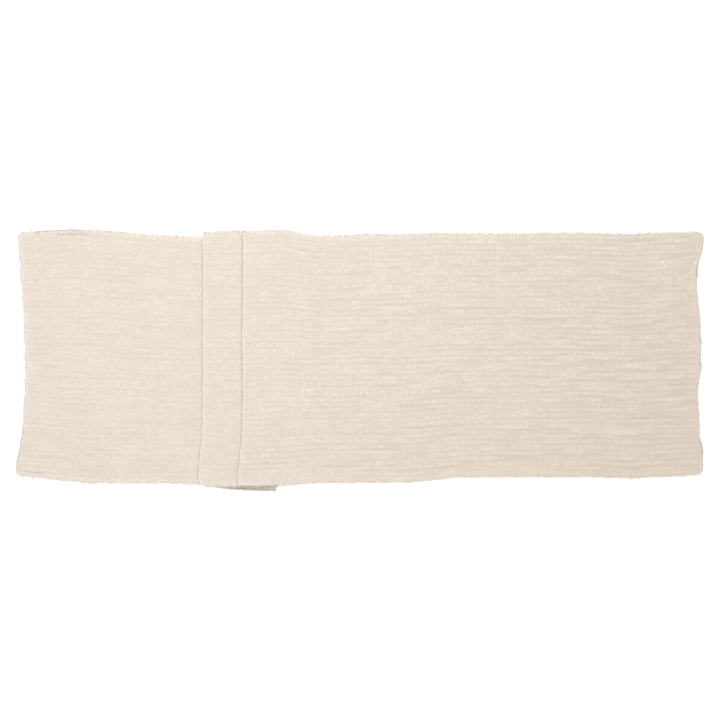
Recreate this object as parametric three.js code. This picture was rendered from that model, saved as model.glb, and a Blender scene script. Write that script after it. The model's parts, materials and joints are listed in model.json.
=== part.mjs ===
// A frayed-edge double-gauze table runner, lying on a table with its middle folded in an accordion.
// Millimetres. +X runs along the runner, +Y across it to the back edge, +Z up. The origin is on the
// table, under the middle of the runner as it lies.
import * as THREE from 'three';

// The cut cloth, loose yarn ends included
const runnerLength = 1220;
const runnerWidth = 330;
const clothThickness = 0.8;
const sideFringe = 6; // yarn ends past the last woven yarn, along each long edge
const endFringe = 4; // the same at each short end
const fringeThickness = 0.5;

// Clearance between neighbouring pieces, and between one folded layer and the next
const clearance = 0.3;

// The accordion: lengths of cloth from one fold line to the next. What is left is the right-hand run.
const leftRun = 338; // left end to first fold, lying on the table
const backRun = 98; // first to second fold, turned back over it
const stripRun = 115; // second to third fold
const returnRun = 62; // third to fourth fold, turned back again
const topOverhang = 2; // the top layer runs this far past the third fold before it falls
const slopeReach = 50; // and comes down to the table over this distance

// Cloth past a table's edge when the runner is laid out for use
const leftDrop = 150;
const rightDrop = 150;

// How far the middle line of the cloth lies to the back (+) or front (-) at its ends and folds
const lie = { leftEnd: 6, firstFold: -6, secondFold: 0, thirdFold: 4.5, fourthFold: 0, rightEnd: 6 };

const foldSteps = 8; // facets round each fold

const layerPitch = clothThickness + clearance;
const stackHeight = 4 * layerPitch; // from the table to the underside of the fifth layer
const slopeLength = Math.hypot(slopeReach, stackHeight);
const slopeAngle = Math.atan2(stackHeight, slopeReach);

const topRun = returnRun + topOverhang; // fourth fold to where the top layer starts to fall
const rightRun = runnerLength - leftRun - backRun - stripRun - returnRun;
const tableRun = rightRun - topRun - slopeLength;
const laidLength = leftRun - backRun + stripRun - returnRun + topRun + slopeReach + tableRun;

// Places along the runner where it ends, folds or bends: x, and the sideways lie of the cloth there
const leftEnd = { x: -laidLength / 2, lie: lie.leftEnd };
const firstFold = { x: leftEnd.x + leftRun, lie: lie.firstFold };
const secondFold = { x: firstFold.x - backRun, lie: lie.secondFold };
const thirdFold = { x: secondFold.x + stripRun, lie: lie.thirdFold };
const fourthFold = { x: thirdFold.x - returnRun, lie: lie.fourthFold };
const slopeTop = { x: fourthFold.x + topRun, lie: lie.fourthFold };
const slopeFoot = { x: slopeTop.x + slopeReach, lie: lie.fourthFold };
const rightEnd = { x: slopeFoot.x + tableRun, lie: lie.rightEnd };
const leftBend = between(leftEnd, firstFold, leftDrop / leftRun);
const rightBend = between(slopeFoot, rightEnd, 1 - rightDrop / tableRun);

const gauze = new THREE.MeshStandardMaterial({ color: 0xebdfd1, roughness: 0.95, metalness: 0 });
const foldedGauze = new THREE.MeshStandardMaterial({ color: 0xe4d6c5, roughness: 0.95, metalness: 0 });
const yarnEnds = new THREE.MeshStandardMaterial({ color: 0xf2e9df, roughness: 1, metalness: 0 });

const clothHalf = runnerWidth / 2 - sideFringe - clearance; // middle line to the last woven yarn
const runner = new THREE.Group();

function between(a, b, share) {
  return { x: THREE.MathUtils.lerp(a.x, b.x, share), lie: THREE.MathUtils.lerp(a.lie, b.lie, share) };
}

// The same place, moved along the run towards another one
function towards(a, b, distance) {
  return between(a, b, distance / Math.abs(b.x - a.x));
}

function addMesh(name, geometry, material, parent) {
  const mesh = new THREE.Mesh(geometry, material);
  mesh.name = name;
  parent.add(mesh);
  return mesh;
}

// A flat band of cloth between two places, from nearSide to farSide of the middle line
function band(from, to, nearSide, farSide, thickness) {
  const outline = new THREE.Shape([
    new THREE.Vector2(from.x, from.lie + nearSide),
    new THREE.Vector2(to.x, to.lie + nearSide),
    new THREE.Vector2(to.x, to.lie + farSide),
    new THREE.Vector2(from.x, from.lie + farSide),
  ]);
  return new THREE.ExtrudeGeometry(outline, { depth: thickness, bevelEnabled: false });
}

// One stretch of the runner: woven cloth with yarn ends down both long edges
function addStretch(name, from, to, height, parent = runner) {
  const fringeStart = clothHalf + clearance;
  const fringeEnd = runnerWidth / 2;
  const pieces = [
    addMesh(`${name}_cloth`, band(from, to, -clothHalf, clothHalf, clothThickness), gauze, parent),
    addMesh(`${name}_back_fringe`, band(from, to, fringeStart, fringeEnd, fringeThickness), yarnEnds, parent),
    addMesh(`${name}_front_fringe`, band(from, to, -fringeEnd, -fringeStart, fringeThickness), yarnEnds, parent),
  ];
  for (const piece of pieces) piece.position.z = height;
}

// Yarn ends across one short end
function addEndFringe(name, end, inner) {
  const root = towards(end, inner, endFringe);
  const fringe = addMesh(name, band(end, root, -clothHalf, clothHalf, fringeThickness), yarnEnds, runner);
  fringe.position.z = 0;
}

// The half turn of cloth that joins two layers at a fold, open to the side the layers come from
function addFold(name, fold, lowerLayer, outward) {
  const inner = clearance / 2;
  const outer = inner + clothThickness;
  const section = new THREE.Shape();
  section.absarc(0, 0, outer, -Math.PI / 2, Math.PI / 2, false);
  section.absarc(0, 0, inner, Math.PI / 2, -Math.PI / 2, true);
  const turn = new THREE.ExtrudeGeometry(section, {
    depth: 2 * clothHalf,
    bevelEnabled: false,
    curveSegments: foldSteps,
  });
  turn.translate(0, 0, -clothHalf);
  turn.rotateX(Math.PI / 2);
  if (outward < 0) turn.rotateZ(Math.PI);
  const mesh = addMesh(name, turn, foldedGauze, runner);
  mesh.position.set(fold.x, fold.lie, lowerLayer * layerPitch + clothThickness + inner);
}

// Stretches that share a body line are half a clearance short of it; at a fold they stop clear of the turn
const seam = clearance / 2;
const atFold = clearance;

addEndFringe('left_short_fringe', leftEnd, firstFold);
addStretch(
  'left_end',
  towards(leftEnd, firstFold, endFringe + clearance),
  towards(leftBend, leftEnd, seam),
  0,
);
addStretch('left_panel', towards(leftBend, firstFold, seam), towards(firstFold, leftBend, atFold), 0);
addStretch(
  'back_run',
  towards(secondFold, firstFold, atFold),
  towards(firstFold, secondFold, atFold),
  layerPitch,
);
addStretch(
  'strip_run',
  towards(secondFold, thirdFold, atFold),
  towards(thirdFold, secondFold, atFold),
  2 * layerPitch,
);
addStretch(
  'return_run',
  towards(fourthFold, thirdFold, atFold),
  towards(thirdFold, fourthFold, atFold),
  3 * layerPitch,
);
addStretch('stack_top', towards(fourthFold, slopeTop, atFold), towards(slopeTop, fourthFold, seam), stackHeight);

// The slope is built level from its upper end, then tipped down to the table
const slope = new THREE.Group();
slope.position.set(slopeTop.x, 0, stackHeight);
slope.rotation.y = slopeAngle;
runner.add(slope);
addStretch('slope', { x: seam, lie: slopeTop.lie }, { x: slopeLength - seam, lie: slopeFoot.lie }, 0, slope);

addStretch('right_panel', towards(slopeFoot, rightEnd, seam), towards(rightBend, slopeFoot, seam), 0);
addStretch(
  'right_end',
  towards(rightBend, rightEnd, seam),
  towards(rightEnd, slopeFoot, endFringe + clearance),
  0,
);
addEndFringe('right_short_fringe', rightEnd, slopeFoot);

addFold('first_fold', firstFold, 0, 1);
addFold('second_fold', secondFold, 1, -1);
addFold('third_fold', thirdFold, 2, 1);
addFold('fourth_fold', fourthFold, 3, -1);

export default runner;
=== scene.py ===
# A frayed double-gauze table runner, laid flat with an accordion of folds near its left end. Metres.
import json
import math

import bmesh
import bpy
import numpy as np
from mathutils import Matrix, Vector
from mathutils.kdtree import KDTree


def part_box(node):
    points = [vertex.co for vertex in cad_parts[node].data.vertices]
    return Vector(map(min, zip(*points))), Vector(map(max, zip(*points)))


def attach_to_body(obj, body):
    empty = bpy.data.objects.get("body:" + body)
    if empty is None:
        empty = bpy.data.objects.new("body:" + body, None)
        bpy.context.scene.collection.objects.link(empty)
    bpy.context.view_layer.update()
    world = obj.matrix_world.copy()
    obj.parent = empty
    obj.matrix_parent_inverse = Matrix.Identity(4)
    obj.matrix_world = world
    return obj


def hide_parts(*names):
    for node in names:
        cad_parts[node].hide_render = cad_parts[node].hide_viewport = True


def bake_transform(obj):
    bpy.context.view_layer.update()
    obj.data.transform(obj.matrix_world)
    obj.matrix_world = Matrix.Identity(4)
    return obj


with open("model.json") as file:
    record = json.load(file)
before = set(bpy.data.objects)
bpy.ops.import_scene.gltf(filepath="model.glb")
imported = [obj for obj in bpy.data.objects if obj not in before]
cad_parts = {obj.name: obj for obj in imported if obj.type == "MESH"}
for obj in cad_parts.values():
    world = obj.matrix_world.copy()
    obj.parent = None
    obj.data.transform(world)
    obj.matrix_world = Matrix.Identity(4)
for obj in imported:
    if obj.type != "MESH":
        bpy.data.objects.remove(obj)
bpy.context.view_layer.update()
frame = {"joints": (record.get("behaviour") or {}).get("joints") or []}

mm = 0.001
hinges = {joint["name"]: Vector(joint["pos_m"]) for joint in frame["joints"]}


# The camera looks straight down on the whole runner
cameraSettings = {"height": 2.254, "lens": 85, "sensor": 36, "x": -0.001, "y": -0.001}


def addCamera(settings):
    data = bpy.data.cameras.new("camera")
    data.lens = settings["lens"]
    data.sensor_width = settings["sensor"]
    camera = bpy.data.objects.new("camera", data)
    camera.location = (settings["x"], settings["y"], settings["height"])
    bpy.context.scene.collection.objects.link(camera)
    bpy.context.scene.camera = camera


addCamera(cameraSettings)
print("camera placed")


# The cloth is described by two distances: s along it from the left end, v across it from its middle line
clothSettings = {
    "length": 1.220,
    "width": 0.330,
    "rowPitch": 7 * mm,  # pillows across the cloth
    "rows": 46,
    "ribPitch": 4 * mm,  # and along it
    "stepsPerRow": 4,
    "stepsPerRib": 3,
    "stepsPerRibInFold": 12,
    "thinnest": 0.12 * mm,  # half the cloth's thickness in a groove
    "fullest": 0.40 * mm,  # on a pillow, in the folded layers
    "fullestFree": 0.58 * mm,  # on a pillow, where nothing presses on it
    "fringe": 2.3 * mm,  # from the last woven yarn to the line of the yarn tips
    "endFringe": 1.5 * mm,
    "edgeBand": 7 * mm,  # where the weave is looser and fuzzier
    "lowestTop": 0.27 * mm,  # on the table, the top of the cloth is never lower than this
    "lowestUnder": 0.03 * mm,  # nor its underside than this
    "tableEnd": 3 * mm,  # the cloth lies on the table until this far before the first fold
    "tableStart": 50 * mm,  # and again from this far after the top of the slope
}
clothLength = clothSettings["length"]
halfWidth = clothSettings["rows"] * clothSettings["rowPitch"] / 2

# Fold lines by their distance along the cloth, each with the hinge that it turns on
foldHinges = [hinges[name + "_fold_open"] for name in ("first", "second", "third", "fourth")]
layerPitch = foldHinges[1].z - foldHinges[0].z
turnRadius = layerPitch / 2
turnLength = math.pi * turnRadius
restHeight = foldHinges[0].z - turnRadius  # middle of the cloth above the table in the lowest layer


def smoothStep(share):
    share = np.clip(share, 0, 1)
    return share * share * (3 - 2 * share)


# From least to 1 as the share goes from 0 to 1
def partly(least, share):
    return least + (1 - least) * share


def smoothed(distance, knots, reach):
    at, value = zip(*knots)
    offsets = (-1, -0.5, 0, 0.5, 1)
    return sum(np.interp(distance + reach * offset, at, value) for offset in offsets) / len(offsets)


# The line of the cloth seen from the front: flat, four half turns, a soft fall to the table, flat
def layPath(turnSteps=16, fallSteps=40):
    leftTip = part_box("left_short_fringe")[0].x
    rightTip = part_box("right_short_fringe")[1].x
    topEdge, foot = hinges["slope_top_flatten"], hinges["slope_foot_flatten"]
    points = [(leftTip, restHeight)]
    for index, fold in enumerate(foldHinges):
        outward = 1 - 2 * (index % 2)
        centre = fold.x - outward * turnLength / 2
        for angle in np.linspace(-math.pi / 2, math.pi / 2, turnSteps + 1):
            x = centre + outward * turnRadius * math.cos(angle)
            points.append((x, fold.z + turnRadius * math.sin(angle)))
    topHeight = foldHinges[3].z + turnRadius
    for share in np.linspace(0, 1, fallSteps + 1):
        drop = float(smoothStep(share)) * (topHeight - restHeight)
        points.append((topEdge.x + share * (foot.x - topEdge.x), topHeight - drop))
    points.append((rightTip, restHeight))
    x, z = np.array(points).T
    along = np.concatenate([[0], np.cumsum(np.hypot(np.diff(x), np.diff(z)))])
    return along * clothLength / along[-1], x, z


pathAlong, pathX, pathZ = layPath()


def alongAt(index):
    fold = foldHinges[index]
    return float(pathAlong[np.argmin(np.hypot(pathX - fold.x, pathZ - fold.z))])


foldAlong = [alongAt(index) for index in range(4)]
slopeTopAlong = foldAlong[3] + hinges["slope_top_flatten"].x - foldHinges[3].x
print("path laid, folds at", [round(along, 4) for along in foldAlong])


# Distance to the nearest woven edge
def fromEdge(s, v):
    return np.minimum(np.minimum(s, clothLength - s), halfWidth - np.abs(v))


# How far the yarn tips lie from the middle of the table along both long edges, by distance along the cloth
outlineSettings = {
    "back": (
        (0.0, 0.1690), (0.040, 0.1728), (0.072, 0.1745), (0.104, 0.1722), (0.167, 0.1664),
        (0.231, 0.1634), (0.338, 0.1610), (0.384, 0.1636), (0.420, 0.1660), (0.436, 0.1690),
        (0.484, 0.1714), (0.496, 0.1688), (0.520, 0.1676), (0.551, 0.1670), (0.600, 0.1670),
        (0.613, 0.1704), (0.640, 0.1718), (0.665, 0.1724), (0.677, 0.1706), (0.695, 0.1670),
        (0.719, 0.1646), (0.742, 0.1648), (0.774, 0.1670), (0.822, 0.1661), (0.862, 0.1687), (0.955, 0.1674),
        (1.035, 0.1687), (1.125, 0.1668), (1.180, 0.1694), (1.220, 0.1694),
    ),
    "front": (
        (0.0, -0.1565), (0.040, -0.1601), (0.088, -0.1654), (0.183, -0.1654), (0.231, -0.1665),
        (0.245, -0.1645), (0.256, -0.1668), (0.268, -0.1718), (0.300, -0.1736), (0.338, -0.1748),
        (0.376, -0.1734), (0.408, -0.1710), (0.420, -0.1655), (0.436, -0.1660), (0.450, -0.1702),
        (0.488, -0.1710), (0.512, -0.1655), (0.551, -0.1625), (0.600, -0.1640), (0.613, -0.1700),
        (0.640, -0.1698), (0.659, -0.1690), (0.680, -0.1680),
        (0.711, -0.1650), (0.806, -0.1645), (0.844, -0.1634), (0.868, -0.1612), (0.892, -0.1580),
        (1.077, -0.1568), (1.125, -0.1588), (1.189, -0.1561), (1.220, -0.1540),
    ),
    "reach": 5 * mm,
    # how far each short end lies right of its straight line, by distance across from front to back
    "left": (
        (-0.161, -0.0080), (-0.140, -0.0068), (-0.122, -0.0025), (-0.105, 0.0010), (-0.060, 0.0035),
        (-0.010, 0.0046), (0.040, 0.0030), (0.080, 0.0012), (0.110, -0.0018), (0.161, -0.0053),
    ),
    "right": (
        (-0.161, 0.0036), (-0.144, 0.0050), (-0.127, 0.0042), (-0.113, 0.0), (-0.094, -0.0010),
        (-0.050, -0.0030), (-0.034, 0.0), (-0.018, 0.0022), (0.0, 0.0015), (0.020, 0.0015),
        (0.060, -0.0010), (0.085, -0.0040), (0.110, -0.0030), (0.124, -0.0010), (0.136, 0.0045),
        (0.150, 0.0060), (0.161, 0.0055),
    ),
    "endFade": 0.055,  # how far into the cloth the wander of a short end reaches
    "cornerRadius": {"leftFront": 10 * mm, "leftBack": 6 * mm, "rightFront": 9 * mm, "rightBack": 9 * mm},
}

# How the folded layers sway to the left near the front edge
swaySettings = {
    "amount": (
        (0.0, 0.0), (0.390, 0.0), (0.436, -0.0062), (0.500, -0.004), (0.551, 0.0),
        (0.580, -0.002), (0.613, -0.0068), (0.660, -0.004), (0.740, 0.0),
    ),
    "from": -0.080,
    "to": -0.160,
}

# Edges that curl up
rollSettings = {
    # for each roll: distance along or across, how far it turns, and how much cloth is in it
    "rolls": (
        {"edge": "back", "from": 0.004, "to": 0.122, "turn": 1.2, "depth": 7 * mm},
        {"edge": "right", "from": 0.112, "to": 0.175, "turn": 1.6, "depth": 6 * mm},
        {"edge": "left", "from": -0.175, "to": -0.106, "turn": 1.7, "depth": 6 * mm},
        {"edge": "right", "from": -0.175, "to": -0.118, "turn": 1.4, "depth": 5 * mm},
    ),
    "squash": 0.5,  # a roll is lower than it is wide
    "fade": 0.35,  # share of a roll's length over which it starts and stops
    "pull": 45 * mm,  # how far inside the edge the cloth is drawn outwards by a roll
}


def noiseField(seed, cellAlong, cellAcross):
    shape = (int(clothLength / cellAlong) + 8, int(2 * halfWidth / cellAcross) + 8)
    lattice = np.random.default_rng(seed).uniform(-1, 1, shape)

    def field(s, v):
        a, b = s / cellAlong + 3, (v + halfWidth) / cellAcross + 3
        i, j = np.floor(a).astype(int), np.floor(b).astype(int)
        i, j = np.clip(i, 0, shape[0] - 2), np.clip(j, 0, shape[1] - 2)
        f, g = smoothStep(a - i), smoothStep(b - j)
        near = lattice[i, j] * (1 - f) + lattice[i + 1, j] * f
        far = lattice[i, j + 1] * (1 - f) + lattice[i + 1, j + 1] * f
        return near * (1 - g) + far * g

    return field


# Slow random changes over the cloth: seed, and the size of a patch along and across
ribPatch = noiseField(11, 17 * mm, 13 * mm)
ribPatchFine = noiseField(12, 6 * mm, 7 * mm)
rowPatch = noiseField(13, 34 * mm, 6.9 * mm)
rowPatchFine = noiseField(14, 9 * mm, 7 * mm)
swell = noiseField(15, 55 * mm, 16 * mm)
swellFine = noiseField(16, 22 * mm, 9 * mm)
rowWander = noiseField(17, 60 * mm, 30 * mm)
rowJitter = noiseField(21, 15 * mm, 11 * mm)
ribWander = noiseField(18, 40 * mm, 45 * mm)
ribJitter = noiseField(22, 13 * mm, 9 * mm)
cellCount = (400, 60)  # more than the cloth has along and across
cellFullness = np.random.default_rng(23).uniform(-1, 1, cellCount)
valleyDepth = np.random.default_rng(24).uniform(-1, 1, cellCount)
fringeLength = noiseField(19, 7 * mm, 400 * mm)
fringeLean = noiseField(20, 4.5 * mm, 400 * mm)
rimPatch = noiseField(25, 9 * mm, 400 * mm)

# How free the cloth is to crinkle: not at all inside the stack, fully where it lies on the table by itself
freedom = (
    (0.0, 1.0), (0.224, 1.0), (0.238, 0.0), (0.436, 0.0), (0.446, 0.35), (0.480, 0.35),
    (0.500, 0.0), (0.613, 0.0), (0.622, 0.4), (0.680, 0.45), (0.735, 1.0), (1.220, 1.0),
)

creaseSettings = {
    "seed": 31,
    # for each part of the cloth: from, to, how many, depth at its start and at its end
    "parts": (
        (0.012, 0.225, 110, 0.46, 0.38), (0.445, 0.485, 10, 0.35, 0.35), (0.625, 0.72, 30, 0.4, 0.5),
        (0.72, 1.205, 480, 0.44, 0.82),
    ),
    "depthSpread": (0.35, 1.25),
    "spreadAcross": halfWidth * 0.97,
    "length": (8 * mm, 42 * mm),
    "width": (0.7 * mm, 2.4 * mm),
    "tilt": 0.045,
    "creaseShade": 0.55,  # how much painted shade darkens a crease, for each millimetre of its depth
    "flank": 0.55,  # height of the swelling beside a crease, as a share of its depth
    "flankPlace": 2.1,  # its distance from the crease and its width, in widths of the crease
    "flankWidth": 1.6,
    # the short sharp one beside the stack: along, across, length, width, depth, tilt
    "tuck": (0.225, -0.1285, 7 * mm, 0.8 * mm, 0.45, 0.02),
}


def scatterCreases(settings):
    rng = np.random.default_rng(settings["seed"])
    creases = []
    for start, end, count, firstDepth, lastDepth in settings["parts"]:
        for _ in range(count):
            s = rng.uniform(start, end)
            depth = np.interp(s, (start, end), (firstDepth, lastDepth))
            depth = depth * rng.uniform(*settings["depthSpread"])
            creases.append((
                s,
                rng.uniform(-settings["spreadAcross"], settings["spreadAcross"]),
                rng.uniform(*settings["length"]),
                rng.uniform(*settings["width"]),
                depth,
                rng.normal(0, settings["tilt"]),
            ))
    creases.append(settings["tuck"])
    return creases


creaseList = scatterCreases(creaseSettings)


def creaseHeight(s, v):
    height = np.zeros_like(s)
    for centre, across, length, width, depth, tilt in creaseList:
        near = np.abs(s - centre) < length
        if not near.any():
            continue
        ds = (s[near] - centre) / length
        dv = (v[near] - across - tilt * (s[near] - centre)) / width
        groove = np.exp(-dv * dv)
        side = 1 if tilt > 0 else -1
        flank = np.exp(-((dv + creaseSettings["flankPlace"] * side) / creaseSettings["flankWidth"]) ** 2)
        fade = (1 - ds * ds) ** 2
        height[near] += depth * mm * fade * (creaseSettings["flank"] * flank - groove)
    return height


def roundCorners(s, v):
    s, v = s.copy(), v.copy()
    for end in ("left", "right"):
        for edge in ("Front", "Back"):
            radius = outlineSettings["cornerRadius"][end + edge]
            sign = -1 if edge == "Front" else 1
            fromEnd = s if end == "left" else clothLength - s
            p, q = 1 - fromEnd / radius, 1 - (halfWidth - sign * v) / radius
            near = (p > 0) & (q > 0)
            p, q = p[near], q[near]
            newEnd = radius * (1 - p * np.sqrt(1 - np.minimum(q, 1) ** 2 / 2))
            newEdge = radius * (1 - q * np.sqrt(1 - np.minimum(p, 1) ** 2 / 2))
            s[near] = newEnd if end == "left" else clothLength - newEnd
            v[near] = sign * (halfWidth - newEdge)
    return s, v


# How far a rolled edge moves outwards and up, for points at a distance inside the edge
def roll(shape, along, inside):
    span = shape["to"] - shape["from"]
    fade = rollSettings["fade"] * span
    bump = smoothStep((along - shape["from"]) / fade) * smoothStep((shape["to"] - along) / fade)
    depth, pull = shape["depth"], rollSettings["pull"]
    turned = np.maximum(depth - inside, 0)
    bend = np.maximum(shape["turn"] * bump / depth, 1e-6)
    keepEdge = depth - np.sin(np.minimum(bend * depth, math.pi / 2)) / bend  # the outline stays in place
    outward = np.sin(bend * turned) / bend - turned + keepEdge * smoothStep((pull - inside) / pull)
    up = rollSettings["squash"] * (1 - np.cos(bend * turned)) / bend
    return outward, up


# How far the rows and ribs of pillows wander from straight, widely and finely
wanderSettings = {"rows": 1.1 * mm, "rowsFine": 0.75 * mm, "ribs": 0.5 * mm, "ribsFine": 0.45 * mm}

# How far the free cloth stands off the table, and the band along the edges where its creases are calmer
swellSettings = {"least": 0.90 * mm, "wide": 0.32 * mm, "fine": 0.36 * mm, "calmBand": 9 * mm, "calm": 0.3}


# Middle of the cloth at s, v. Beyond the woven edges it goes on outwards, for the yarn ends.
def place(s, v):
    s, v = roundCorners(s, v)
    inS = np.clip(s, 0, clothLength)
    inV = np.clip(v, -halfWidth, halfWidth)
    x = np.interp(inS, pathAlong, pathX) + (s - inS)
    z = np.interp(inS, pathAlong, pathZ)
    reach = outlineSettings["reach"]
    front = smoothed(inS, outlineSettings["front"], reach) + clothSettings["fringe"]
    back = smoothed(inS, outlineSettings["back"], reach) - clothSettings["fringe"]
    share = (inV + halfWidth) / (2 * halfWidth)
    inner = 1 - (inV / halfWidth) ** 4  # the rows don't wander at the long edges
    y = front + (back - front) * share + (v - inV)
    wander = wanderSettings
    y = y + (wander["rows"] * rowWander(inS, inV) + wander["rowsFine"] * rowJitter(inS, inV)) * inner
    x = x + wander["ribs"] * ribWander(inS, inV) + wander["ribsFine"] * ribJitter(inS, inV)
    fade = outlineSettings["endFade"]
    leftShift = smoothed(inV, outlineSettings["left"], reach) + clothSettings["endFringe"]
    rightShift = smoothed(inV, outlineSettings["right"], reach) - clothSettings["endFringe"]
    x = x + leftShift * smoothStep(1 - inS / fade) + rightShift * smoothStep(1 - (clothLength - inS) / fade)
    sway = smoothed(inS, swaySettings["amount"], reach)
    x = x + sway * smoothStep((inV - swaySettings["from"]) / (swaySettings["to"] - swaySettings["from"]))
    free = np.interp(inS, *zip(*freedom))
    rise = swellSettings
    swelling = rise["least"] + rise["wide"] * swell(inS, inV) + rise["fine"] * swellFine(inS, inV)
    calm = smoothStep((halfWidth - np.abs(inV)) / rise["calmBand"]) * (1 - rise["calm"]) + rise["calm"]
    z = z + free * (swelling + calm * creaseHeight(inS, inV))
    for shape in rollSettings["rolls"]:
        if shape["edge"] == "back":
            out, up = roll(shape, inS, halfWidth - v)
            y, z = y + out, z + up
        elif shape["edge"] == "left":
            out, up = roll(shape, inV, s)
            x, z = x - out, z + up
        else:
            out, up = roll(shape, inV, clothLength - s)
            x, z = x + out, z + up
    return np.stack([x, y, z], 1)


# The pillows of the crinkle: how steep their sides are, and how deep the grooves between them
pillowSettings = {
    "rowSteepness": 0.6,
    "ribSteepness": 0.8,
    "rowDepth": {"usual": 0.66, "wide": 0.46, "fine": 0.34, "least": 0.1},
    "ribDepth": {"usual": 0.52, "wide": 0.60, "fine": 0.35, "valley": 0.4, "least": 0.05},
    "deepestRib": 0.9,
    "unevenness": 0.20,  # how much the pillows' height varies from one to the next
    "calm": 0.35,  # share of the crinkle that is left at the edges
    "calmFrom": 2 * mm,
    "calmBand": 9 * mm,
    "flatCore": 1 * mm,  # beside a fold, where the cloth is pressed fully, and the band where that fades
    "flatBand": 5 * mm,
    "pressed": 0.55,
    "shown": 0.2,  # share of the crinkle's painted groove shade that is left at a fold
    "thinEdge": 0.5,
    "thinBand": 4 * mm,
}


# Half the thickness at s, v, and how full the pillow is there from 0 to 1
def fullness(s, v):
    settings = pillowSettings
    row, rib = settings["rowDepth"], settings["ribDepth"]
    ribCount, rowCount = s / clothSettings["ribPitch"], (v + halfWidth) / clothSettings["rowPitch"]
    rowWave = np.abs(np.sin(math.pi * rowCount)) ** settings["rowSteepness"]
    ribWave = np.abs(np.sin(math.pi * ribCount)) ** settings["ribSteepness"]
    cell = cellFullness[ribCount.astype(int), rowCount.astype(int)]
    valley = valleyDepth[np.round(ribCount).astype(int), rowCount.astype(int)]
    rowDepth = row["usual"] + row["wide"] * rowPatch(s, v) + row["fine"] * rowPatchFine(s, v)
    rowDepth = np.clip(rowDepth, row["least"], 1)
    ribDepth = rib["usual"] + rib["wide"] * ribPatch(s, v) + rib["fine"] * ribPatchFine(s, v)
    ribDepth = np.clip(ribDepth + rib["valley"] * valley, rib["least"], 1)
    edge = fromEdge(s, v)
    calm = partly(settings["calm"], smoothStep((edge - settings["calmFrom"]) / settings["calmBand"]))
    pillow = 1 - calm * rowDepth * (1 - rowWave)
    pillow = pillow * (1 - settings["deepestRib"] * calm * ribDepth * (1 - ribWave))
    pillow = pillow * (1 - settings["unevenness"] + settings["unevenness"] * cell * rowWave * ribWave)
    free = np.interp(s, *zip(*freedom))
    fromFold = np.min([np.abs(s - along) for along in foldAlong], axis=0)
    unpressed = smoothStep((fromFold - settings["flatCore"]) / settings["flatBand"])
    most = clothSettings["fullest"] + free * (clothSettings["fullestFree"] - clothSettings["fullest"])
    most = most * partly(settings["pressed"], unpressed)
    least = clothSettings["thinnest"]
    thinning = partly(settings["thinEdge"], smoothStep(edge / settings["thinBand"]))
    shown = partly(settings["shown"], unpressed)
    return (least + (most - least) * pillow) * thinning, 1 - (1 - pillow) * shown


# Shade beside the second and fourth folds' edges, on the layer under each, and on the turns themselves
creviceSettings = {"reach": 0.9 * mm, "turnReach": 0.5 * mm, "behind": 1.5, "second": 0.7, "fourth": 1.0}

# The lowest layers look out in front of the stack between these distances along, and get painted shade there
lookOutSettings = {"from": 0.262, "to": 0.414, "depth": 6 * mm, "shade": 0.75}


# How dark the shade is at s, v, from 0 to 1
def creviceShade(s, v, x):
    edges = smoothStep((v - swaySettings["from"]) / (swaySettings["to"] - swaySettings["from"]))
    shade = np.zeros_like(s)
    folds = ((1, 0, foldAlong[0], creviceSettings["second"]),
             (3, foldAlong[1], foldAlong[2], creviceSettings["fourth"]))
    for index, first, last, most in folds:
        sway = float(smoothed(foldAlong[index], swaySettings["amount"], outlineSettings["reach"]))
        beside = (foldHinges[index].x + sway * edges - x) / creviceSettings["reach"]
        under = (s > first) & (s < last) & (beside > -creviceSettings["behind"])
        shade = np.where(under, most * np.exp(-beside ** 2), shade)
        onTurn = np.exp(-((s - foldAlong[index]) / creviceSettings["turnReach"]) ** 2)
        shade = np.maximum(shade, most * onTurn)
    looksOut = (s > lookOutSettings["from"]) & (s < lookOutSettings["to"])
    shade = np.where(looksOut & (v < lookOutSettings["depth"] - halfWidth), lookOutSettings["shade"], shade)
    return shade


def addObject(name, mesh):
    piece = bpy.data.objects.new(name, mesh)
    bpy.context.scene.collection.objects.link(piece)
    return piece


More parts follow.
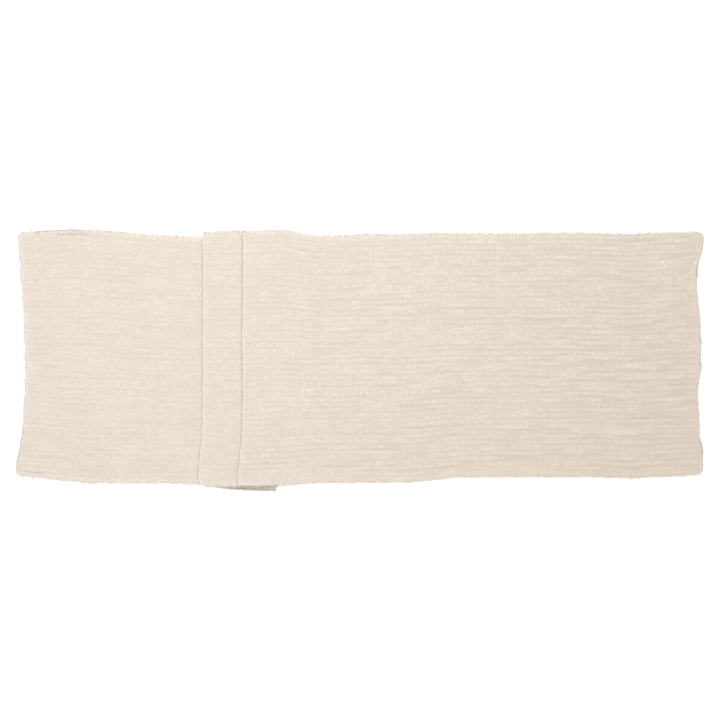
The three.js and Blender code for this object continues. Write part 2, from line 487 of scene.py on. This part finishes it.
# A closed stretch of cloth from one distance along to another
def makeCloth(name, start, end, stepsPerRib, material):
    ribs = round((end - start) / clothSettings["ribPitch"])
    columns, rows = ribs * stepsPerRib, clothSettings["rows"] * clothSettings["stepsPerRow"]
    sheet = bmesh.new()
    size = Matrix.Diagonal(((end - start) / 2, halfWidth, 1, 1))
    middle = Matrix.Translation(((start + end) / 2, 0, 0))
    bmesh.ops.create_grid(sheet, x_segments=columns, y_segments=rows, size=1, matrix=middle @ size)
    bmesh.ops.solidify(sheet, geom=sheet.faces[:], thickness=1 * mm)
    bmesh.ops.recalc_face_normals(sheet, faces=sheet.faces[:])
    sheet.normal_update()
    for face in sheet.faces:
        face.smooth = True
        if abs(face.normal.z) < 0.5:
            face.smooth = False
            for edge in face.edges:
                edge.smooth = False
    mesh = bpy.data.meshes.new(name)
    sheet.to_mesh(mesh)
    sheet.free()

    flat = np.zeros(len(mesh.vertices) * 3, np.float32)
    mesh.vertices.foreach_get("co", flat)
    s, v, level = flat.reshape(-1, 3).astype(float).T
    side = np.where(level > (level.min() + level.max()) / 2, 1.0, -1.0)
    half, pillow = fullness(s, v)
    reach = 0.05 * mm
    centre = place(s, v)
    normal = np.cross(place(s + reach, v) - place(s - reach, v), place(s, v + reach) - place(s, v - reach))
    normal /= np.linalg.norm(normal, axis=1)[:, None]
    points = centre + normal * (side * half)[:, None]
    onLeft = s < foldAlong[0] - clothSettings["tableEnd"]
    onRight = s > slopeTopAlong + clothSettings["tableStart"]
    lowest = np.where(side > 0, clothSettings["lowestTop"], clothSettings["lowestUnder"])
    points[:, 2] = np.where(onLeft | onRight, np.maximum(points[:, 2], lowest), points[:, 2])
    mesh.vertices.foreach_set("co", points.astype(np.float32).ravel())

    free = np.interp(s, *zip(*freedom))
    # creases lower the relief, and low relief gets painted shade in the gauze
    pillow = np.clip(pillow + creaseSettings["creaseShade"] * free * creaseHeight(s, v) / mm, 0, 1)
    shades = {
        "relief": pillow,
        "edge": 1 - smoothStep(fromEdge(s, v) / clothSettings["edgeBand"]),
        "crevice": creviceShade(s, v, centre[:, 0]),
    }
    for label, values in shades.items():
        attribute = mesh.attributes.new(label, "FLOAT", "POINT")
        attribute.data.foreach_set("value", values.astype(np.float32))
    loops = np.zeros(len(mesh.loops), int)
    mesh.loops.foreach_get("vertex_index", loops)
    weave = mesh.uv_layers.new(name="weave")
    weave.uv.foreach_set("vector", np.stack([s, v], 1)[loops].astype(np.float32).ravel())
    mesh.update()
    mesh.materials.append(material)
    return addObject(name, mesh)


# Yarn ends: short tapered yarns that start inside the woven edge
fringeSettings = {
    "seed": 41,
    "spacing": 0.30 * mm,
    "radius": 0.20 * mm,
    "tipRadius": 0.6,
    # painted shade towards the yarn tips
    "tipShade": 0.3,
    "length": (2.2 * mm, 3.8 * mm),
    "endLength": (1.5 * mm, 2.6 * mm),
    "lengthSpread": (0.55, 1.15),
    "inside": 1.2 * mm,
    "rootSpread": 0.2 * mm,
    "rootHeight": (-0.1 * mm, 0.2 * mm),
    "tipHeight": 0.25 * mm,
    "lean": 0.40,
    "leanSpread": 0.22,
    "curl": 0.35,
    # where along its noise each edge starts
    "shift": {"front": 0.0, "back": 0.3, "left": 0.6, "right": 0.9},
    # long thin yarns that lie along the edge
    "strayEvery": 35 * mm,
    "strayLength": (12 * mm, 40 * mm),
    "strayWave": (0.3 * mm, 1.0 * mm),
    "strayTurns": (4, 11),
    "strayOutside": (0.0, 2.0 * mm),
    "strayHeight": (0.1 * mm, 0.4 * mm),
    # thick loose yarns that lie on the cloth: edge, from, to, how far inside, tone. Pale ones have tone -1;
    # dark ones with a positive tone are painted shadow beside the pale yarns and painted shade along the rims
    "loose": (
        ("back", 0.034, 0.062, 3.6 * mm, -1), ("back", 0.052, 0.084, 5.2 * mm, -1),
        ("back", 0.010, 0.026, 4.4 * mm, -1), ("back", 0.022, 0.066, 0.3 * mm, 1),
        ("back", 0.048, 0.088, 7.4 * mm, 0.75),
        ("left", -0.158, -0.140, 3.8 * mm, -1), ("left", -0.150, -0.122, 2.8 * mm, -1),
        ("left", -0.152, -0.096, 0.2 * mm, 1), ("front", 0.010, 0.026, 4.8 * mm, -1),
        ("front", 0.018, 0.036, 3.4 * mm, -1), ("front", 0.012, 0.030, 6.2 * mm, 0.5),
        ("right", 0.118, 0.152, 4.8 * mm, -1), ("right", 0.088, 0.126, 3.4 * mm, -1),
        ("right", 0.104, 0.150, 0.3 * mm, 1), ("right", -0.154, -0.132, 3.4 * mm, -1),
        ("right", -0.156, -0.112, 0.2 * mm, 1),
    ),
    "looseCount": {"pale": 6, "dark": 2},
    "looseSpread": 0.42 * mm,
    "looseWave": 0.5 * mm,
    "looseTurns": (5, 12),
    "looseHeight": 0.70 * mm,
    # painted shade on the yarn ends, by distance along the cloth, and how much that varies
    "rimShade": ((0.0, 0.05), (0.6, 0.1), (0.9, 0.3), (1.22, 0.65)),
    "rimPatches": 0.5,
    "points": {"end": 4, "stray": 12, "loose": 16},  # in each yarn
    "phase": (0, 6),  # where a yarn's wave starts
}


# Each yarn is its points and a tone: 1 as dark as the painted shade of the stack, 0 ordinary, -1 the palest
def makeYarns(name, yarns, material):
    paths = [path for path, tone in yarns]
    data = bpy.data.curves.new(name, "CURVE")
    data.dimensions = "3D"
    data.bevel_depth = fringeSettings["radius"]
    data.bevel_resolution = 0
    data.use_fill_caps = True
    for path in paths:
        spline = data.splines.new("POLY")
        spline.points.add(len(path) - 1)
        spline.points.foreach_set("co", np.concatenate([path, np.ones((len(path), 1))], 1).ravel())
        taper = np.linspace(1, fringeSettings["tipRadius"], len(path))
        spline.points.foreach_set("radius", taper)
    curve = bpy.data.objects.new(name + "Curve", data)
    bpy.context.scene.collection.objects.link(curve)
    mesh = bpy.data.meshes.new_from_object(curve)
    bpy.data.objects.remove(curve)
    bpy.data.curves.remove(data)
    mesh.name = name
    mesh.shade_smooth()
    tree = KDTree(sum(len(path) for path in paths))
    tip = fringeSettings["tipShade"]
    shades = np.concatenate([tone + tip * np.linspace(0, 1, len(path)) ** 2 for path, tone in yarns])
    for index, point in enumerate(np.concatenate(paths)):
        tree.insert(point, index)
    tree.balance()
    values = [shades[tree.find(vertex.co)[1]] for vertex in mesh.vertices]
    mesh.attributes.new("tone", "FLOAT", "POINT").data.foreach_set("value", values)
    mesh.materials.clear()
    mesh.materials.append(material)
    return addObject(name, mesh)


# The yarns along one edge. edge is front, back, left or right; start and end are along it.
def yarnPaths(edge, start, end, rng):
    settings = fringeSettings
    isLong = edge in ("front", "back")
    sign = -1 if edge in ("front", "left") else 1
    lengths = settings["length"] if isLong else settings["endLength"]
    strands = []  # each is its points' distance along, outward and up, and its tone

    def addStrand(along, outward, height, tone):
        strands.append((np.stack(np.broadcast_arrays(along, outward, height)), tone))

    shares = np.linspace(0, 1, settings["points"]["end"])
    for root in np.arange(start, end, settings["spacing"]) + settings["spacing"] / 2:
        spot = np.array([(root + settings["shift"][edge]) % clothLength])
        tuft = 0.5 + 0.5 * float(fringeLength(spot, np.zeros(1))[0])
        lean = settings["lean"] * float(fringeLean(spot, np.zeros(1))[0])
        lean = lean + rng.normal(0, settings["leanSpread"])
        length = np.interp(tuft, (0, 1), lengths) * rng.uniform(*settings["lengthSpread"])
        length = length + settings["inside"]
        curl = rng.normal(0, settings["curl"])
        aside = rng.uniform(-settings["rootSpread"], settings["rootSpread"])
        along = root + aside + length * (lean * shares + curl * shares ** 2 * 0.5)
        height = rng.uniform(*settings["rootHeight"])
        height = height + settings["tipHeight"] * shares * rng.uniform(-1, 1)
        distance = root if isLong else {"left": 0.0, "right": clothLength}[edge]
        # painted shade on the rims, growing towards the right end, and full painted shade in front of the
        # stack
        tone = float(np.interp(distance, *zip(*settings["rimShade"])))
        tone = max(0, tone + settings["rimPatches"] * float(rimPatch(spot, np.zeros(1))[0]))
        if edge == "front" and lookOutSettings["from"] < root < lookOutSettings["to"]:
            tone = 1
        addStrand(along, length * shares - settings["inside"], height, tone)
    shares = np.linspace(0, 1, settings["points"]["stray"])
    for _ in range(round((end - start) / settings["strayEvery"])):
        length = min(rng.uniform(*settings["strayLength"]), end - start)
        first = rng.uniform(start, end - length)
        size = rng.uniform(*settings["strayWave"])
        wave = size * np.sin(shares * rng.uniform(*settings["strayTurns"]) + rng.uniform(*settings["phase"]))
        outward = rng.uniform(*settings["strayOutside"]) + wave
        addStrand(first + length * shares, outward, rng.uniform(*settings["strayHeight"]), 0)
    shares = np.linspace(0, 1, settings["points"]["loose"])
    for side, first, last, inside, tone in settings["loose"]:
        if side == edge and first >= start and last <= end:
            count = settings["looseCount"]["pale" if tone < 0 else "dark"]
            for strand in range(count):
                turns = rng.uniform(*settings["looseTurns"])
                wave = np.sin(shares * turns + rng.uniform(*settings["phase"]))
                aside = (strand - (count - 1) / 2) * settings["looseSpread"]
                outward = settings["looseWave"] * wave - inside + aside
                addStrand(first + (last - first) * shares, outward, settings["looseHeight"], tone)

    along, outward, height = np.concatenate([strand for strand, tone in strands], 1)
    if isLong:
        points = place(along, sign * (halfWidth + outward))
    elif edge == "left":
        points = place(-outward, along)
    else:
        points = place(clothLength + outward, along)
    points[:, 2] = np.maximum(points[:, 2] + height, settings["radius"])
    ends = np.cumsum([strand.shape[1] for strand, tone in strands])[:-1]
    return [(path, tone) for path, (strand, tone) in zip(np.split(points, ends), strands)]


# A socket that can be used in Python expressions
class Value:
    def __init__(self, finish, socket):
        self.finish, self.socket = finish, socket

    def maths(self, operation, *others):
        inputs = dict(enumerate((self, *others)))
        return self.finish.node("ShaderNodeMath", {"operation": operation}, inputs)

    def __add__(self, other):
        return self.maths("ADD", other)

    __radd__ = __add__

    def __sub__(self, other):
        return self.maths("SUBTRACT", other)

    def __rsub__(self, other):
        return self.maths("MULTIPLY", -1) + other

    def __mul__(self, other):
        return self.maths("MULTIPLY", other)

    __rmul__ = __mul__

    def __pow__(self, other):
        return self.maths("POWER", other)


# A material with one Principled shader, and the methods that add other nodes to it
class Finish:
    def __init__(self, name):
        self.material = bpy.data.materials.new(name)
        self.material.use_nodes = True
        self.tree = self.material.node_tree
        self.shader = self.tree.nodes["Principled BSDF"]

    def node(self, kind, settings=None, inputs=None, output=0):
        made = self.tree.nodes.new(kind)
        for key, value in (settings or {}).items():
            setattr(made, key, value)
        for key, value in (inputs or {}).items():
            self.feed(made.inputs[key], value)
        return Value(self, made.outputs[output])

    def feed(self, socket, value):
        if isinstance(value, Value):
            self.tree.links.new(value.socket, socket)
        else:
            socket.default_value = value

    def attribute(self, name):
        return self.node("ShaderNodeAttribute", {"attribute_name": name}, output=2)

    def mix(self, factor, first, second):
        return self.node("ShaderNodeMix", {"data_type": "RGBA"}, {0: factor, 6: first, 7: second}, output=2)

    def surface(self, **inputs):
        for key, value in inputs.items():
            self.feed(self.shader.inputs[key.replace("_", " ")], value)


# Double gauze: cream cotton with slubs, rougher towards the right end; painted shade makes it darker in its
# grooves, creases, folds and along its rims, and warmer and darker towards the right end and the front
gauzeSettings = {
    "cream": (0.830, 0.752, 0.669, 1),
    "sand": (0.762, 0.676, 0.584, 1),
    "light": (0.890, 0.831, 0.768, 1),
    # groove also colours the painted shade in grooves and creases
    "groove": (0.680, 0.590, 0.492, 1),
    # warm is the colour of the painted shade towards the right end and the front
    "warm": (0.750, 0.640, 0.520, 1),
    # this colour serves the flecks and the painted shade along the rims
    "fleckAndRimShade": (0.560, 0.450, 0.340, 1),
    "shade": (0.480, 0.395, 0.300, 1),
    # each noise by its patches to the metre along and across, and its detail
    "noises": {
        "patches": (18, 30, 2), "blotches": (70, 120, 2), "mottle": (190, 270, 4), "grain": (590, 320, 1),
        "speckle": (330, 420, 1), "specks": (900, 1100, 1),
        "slubsAlong": (60, 1400, 2), "slubsAcross": (1500, 90, 2),
    },
    # what changes over the cloth: a start value, and what adds to it as one goes along and towards the front
    "trends": {
        "contrast": (0.72, {"alongCubed": 0.42, "alongFront": 0.6}),
        "graininess": (0, {"contrast": 4.3, "alongCubed": 1.7}),
        # painted shade along the rims, growing towards the right end and the front
        "edgeShade": (-0.40, {"along": 0.6, "front": 0.5}),
        # painted shade, warmer and darker towards the right end and the front
        "warmShade": (-0.66, {"along": 0.9, "alongFront": 1.3}),
    },
    # layers of colour, lowest first: what varies the layer, its gain, what is taken off, what it is scaled by
    "layers": (
        ("patches", 1.1, 0.05, None, "cream"),
        ("blotches", 1.1, 0.495, None, "sand"),
        ("mottle", 2, 1, "contrast", "groove"),
        ("mottle", -2, -1, "contrast", "light"),
        ("grain", 1, 0.5, "graininess", "groove"),
        ("grain", -1, -0.5, "graininess", "light"),
        ("speckle", 6, 2.8, "edge", "light"),
        ("speckle", -6, -2.5, "edge", "fleckAndRimShade"),
        # painted shade along the rims
        ("edgeShade", 1, 0, "edge", "fleckAndRimShade"),
        # painted shade towards the right end and the front
        ("warmShade", 1, 0, None, "warm"),
        ("slubsAlong", 2.4, 1.32, None, "light"),
        ("slubsAcross", 1.9, 1.045, None, "light"),
        # painted shade in the grooves and creases, where the relief is low
        ("relief", -1.05, -1.05, "contrast", "groove"),
        ("specks", 5, 3.6, None, "fleckAndRimShade"),
        ("weave", -0.22, -0.22, None, "groove"),
        ("crevice", 0.55, 0, None, "shade"),
    ),
    "yarnPitch": 0.62 * mm,
    "weaveHeight": 0.12 * mm,
    "slubHeight": 0.8,  # share of the weave's height
    "bump": 0.7,
    "surface": {"Roughness": 0.93, "Specular_IOR_Level": 0.2, "Sheen_Weight": 0.12, "Sheen_Roughness": 0.5},
}


def makeGauze(settings):
    finish = Finish("gauze")
    uv = finish.node("ShaderNodeUVMap", {"uv_map": "weave"})
    fields = {name: finish.attribute(name) for name in ("relief", "edge", "crevice")}
    for name, (alongScale, acrossScale, detail) in settings["noises"].items():
        spot = finish.node("ShaderNodeVectorMath", {"operation": "MULTIPLY"},
                           {0: uv, 1: (alongScale, acrossScale, 1)})
        fields[name] = finish.node("ShaderNodeTexNoise", None, {"Vector": spot, "Scale": 1, "Detail": detail})

    along = finish.node("ShaderNodeSeparateXYZ", None, {0: uv})
    across = finish.node("ShaderNodeSeparateXYZ", None, {0: uv}, output=1)
    turns = math.pi / settings["yarnPitch"]
    warp, weft = (along * turns).maths("SINE"), (across * turns).maths("SINE")
    over = warp * weft * 0.5 + 0.5
    fields["weave"] = weft.maths("ABSOLUTE") * over + warp.maths("ABSOLUTE") * (1 - over)

    front = across * -1
    fields.update({"along": along, "alongCubed": along ** 3, "front": front, "alongFront": along * front})
    for name, (startValue, parts) in settings["trends"].items():
        fields[name] = sum(fields[part] * amount for part, amount in parts.items()) + startValue

    tone = settings["sand"]
    for name, gain, less, scale, colour in settings["layers"]:
        factor = fields[name] * gain - less
        if scale:
            factor = factor * fields[scale]
        tone = finish.mix(factor, tone, settings[colour])
    height = fields["weave"] + (fields["slubsAlong"] + fields["slubsAcross"]) * settings["slubHeight"]
    bump = finish.node("ShaderNodeBump", None, {"Height": height, "Distance": settings["weaveHeight"],
                                                "Strength": settings["bump"]})
    finish.surface(Base_Color=tone, Normal=bump, **settings["surface"])
    return finish.material


# Loose yarn: flecked, darker where its tone gives painted shade, a little lighter than the cloth where it is
# thick
yarnSettings = {
    "pale": (0.900, 0.850, 0.800, 1),
    "tan": (0.540, 0.450, 0.350, 1),
    "shaded": (0.470, 0.385, 0.280, 1),
    "loose": (0.975, 0.905, 0.835, 1),
    "flecks": {"scale": 620, "gain": 6.5, "less": 2.45},
    "shading": 0.45,
    "fibreScale": 4200,
    "fibreHeight": 0.04 * mm,
    "surface": {"Roughness": 0.95, "Specular_IOR_Level": 0.2, "Sheen_Weight": 0.1},
}


def makeYarn(settings):
    finish = Finish("yarnEnds")
    coordinates = finish.node("ShaderNodeTexCoord", output=3)

    def noise(scale):
        return finish.node("ShaderNodeTexNoise", None, {"Vector": coordinates, "Scale": scale, "Detail": 2})

    shade, flecks = finish.attribute("tone"), settings["flecks"]
    paleness = noise(flecks["scale"]) * flecks["gain"] - flecks["less"]
    colour = finish.mix(paleness, settings["tan"], settings["pale"])
    colour = finish.mix(shade * settings["shading"], colour, settings["shaded"])
    colour = finish.mix(shade * -1, colour, settings["loose"])
    bump = finish.node("ShaderNodeBump", None, {"Height": noise(settings["fibreScale"]),
                                                "Distance": settings["fibreHeight"]})
    finish.surface(Base_Color=colour, Normal=bump, **settings["surface"])
    return finish.material


gauze = makeGauze(gauzeSettings)
yarn = makeYarn(yarnSettings)
print("materials made")

# Spans on each side of a hinge: at a hanging end, at the fall from the stack, at a fold
bendSettings = {
    "end": Vector((15 * mm, 0, 0)),
    "fall": Vector((10 * mm, 0, 0)),
    "fold": Vector((0, 0, 0.2 * mm)),
}


def bendAt(name, kind):
    return hinges[name] - bendSettings[kind], hinges[name] + bendSettings[kind]


# The runner in eleven stretches. Those that cross a joint are left unattached, with their place baked in.
stretches = (
    {"name": "left", "from": 0.0, "to": 0.332, "bodies": ("left_end", "left_panel"), "held": "laid",
     "bend": bendAt("left_end_hang", "end"), "stands": ("left_end", "left_panel")},
    {"name": "firstFold", "from": 0.332, "to": 0.344, "bodies": ("left_panel", "back_run"), "held": "folded",
     "bend": bendAt("first_fold_open", "fold"), "fold": "first_fold"},
    {"name": "backRun", "from": 0.344, "to": 0.428, "bodies": ("back_run",), "held": "folded",
     "stands": ("back_run",)},
    {"name": "secondFold", "from": 0.428, "to": 0.444, "bodies": ("back_run", "strip_run"), "held": "folded",
     "bend": bendAt("second_fold_open", "fold"), "fold": "second_fold"},
    {"name": "strip", "from": 0.444, "to": 0.544, "bodies": ("strip_run",), "held": "folded",
     "stands": ("strip_run",)},
    {"name": "thirdFold", "from": 0.544, "to": 0.560, "bodies": ("strip_run", "return_run"), "held": "folded",
     "bend": bendAt("third_fold_open", "fold"), "fold": "third_fold"},
    {"name": "returnRun", "from": 0.560, "to": 0.604, "bodies": ("return_run",), "held": "folded",
     "stands": ("return_run",)},
    {"name": "fourthFold", "from": 0.604, "to": 0.620, "bodies": ("return_run", "stack_top"),
     "held": "folded", "bend": bendAt("fourth_fold_open", "fold"), "fold": "fourth_fold"},
    {"name": "stackTop", "from": 0.620, "to": 0.700, "bodies": ("stack_top", "slope"), "held": "folded",
     "bend": bendAt("slope_top_flatten", "fall"), "stands": ("stack_top",)},
    {"name": "slope", "from": 0.700, "to": 0.900, "bodies": ("slope", "right_panel"), "held": "laid",
     "bend": bendAt("slope_foot_flatten", "fall"), "stands": ("slope",)},
    {"name": "right", "from": 0.900, "to": 1.220, "bodies": ("right_panel", "right_end"), "held": "laid",
     "bend": bendAt("right_end_hang", "end"), "stands": ("right_panel", "right_end")},
)


def attach(piece, stretch):
    if len(stretch["bodies"]) == 1:
        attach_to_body(piece, stretch["bodies"][0])
    else:
        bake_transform(piece)


rng = np.random.default_rng(fringeSettings["seed"])
for stretch in stretches:
    name, start, end = stretch["name"], stretch["from"], stretch["to"]
    steps = clothSettings["stepsPerRibInFold" if "fold" in stretch else "stepsPerRib"]
    cloth = makeCloth(name + "Cloth", start, end, steps, gauze)
    attach(cloth, stretch)
    if "fold" in stretch:
        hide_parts(stretch["fold"])
    for body in stretch.get("stands", ()):
        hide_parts(body + "_cloth")
    for edge in ("back", "front"):
        fringe = makeYarns(name + edge.capitalize() + "Fringe", yarnPaths(edge, start, end, rng), yarn)
        attach(fringe, stretch)
        for body in stretch.get("stands", ()):
            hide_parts(f"{body}_{edge}_fringe")
    for edge, body in (("left", "left_end"), ("right", "right_end")):
        if name == edge:
            across = yarnPaths(edge, -halfWidth, halfWidth, rng)
            fringe = makeYarns(edge + "EndFringe", across, yarn)
            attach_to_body(fringe, body)
            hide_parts(edge + "_short_fringe")
    end - start
    print("made", name, "from", start, "to", end, "with", len(cloth.data.polygons), "faces")


# Floor and light: a white floor, even light from all round, and a soft lamp high up beyond the back edge
stageSettings = {
    "floorSize": 12.0,
    "floorDrop": 0.8 * mm,
    "floorColour": (0.95, 0.95, 0.95, 1),
    "floorGlow": 0.5,
    "worldStrength": 0.803,
    "keyPlace": (-0.20, 0.46, 1.50),
    "keySize": 0.8,
    "keyPower": 10.0,
}


def addStage(settings):
    grid = bmesh.new()
    bmesh.ops.create_grid(grid, x_segments=1, y_segments=1, size=settings["floorSize"] / 2,
                          matrix=Matrix.Translation((0, 0, -settings["floorDrop"])))
    mesh = bpy.data.meshes.new("floor")
    grid.to_mesh(mesh)
    grid.free()
    paint = Finish("floorPaint")
    paint.surface(Base_Color=settings["floorColour"], Roughness=1.0, Specular_IOR_Level=0.0,
                  Emission_Color=(1, 1, 1, 1), Emission_Strength=settings["floorGlow"])
    mesh.materials.append(paint.material)
    addObject("floor", mesh)

    world = bpy.data.worlds.new("studio")
    bpy.context.scene.world = world
    world.use_nodes = True
    background = world.node_tree.nodes["Background"]
    background.inputs["Color"].default_value = (1, 1, 1, 1)
    background.inputs["Strength"].default_value = settings["worldStrength"]

    data = bpy.data.lights.new("key", "AREA")
    data.size = settings["keySize"]
    data.energy = settings["keyPower"]
    key = bpy.data.objects.new("key", data)
    key.location = settings["keyPlace"]
    key.visible_camera = False
    bpy.context.scene.collection.objects.link(key)


addStage(stageSettings)
bpy.context.scene.view_settings.view_transform = "Standard"
print("stage set")
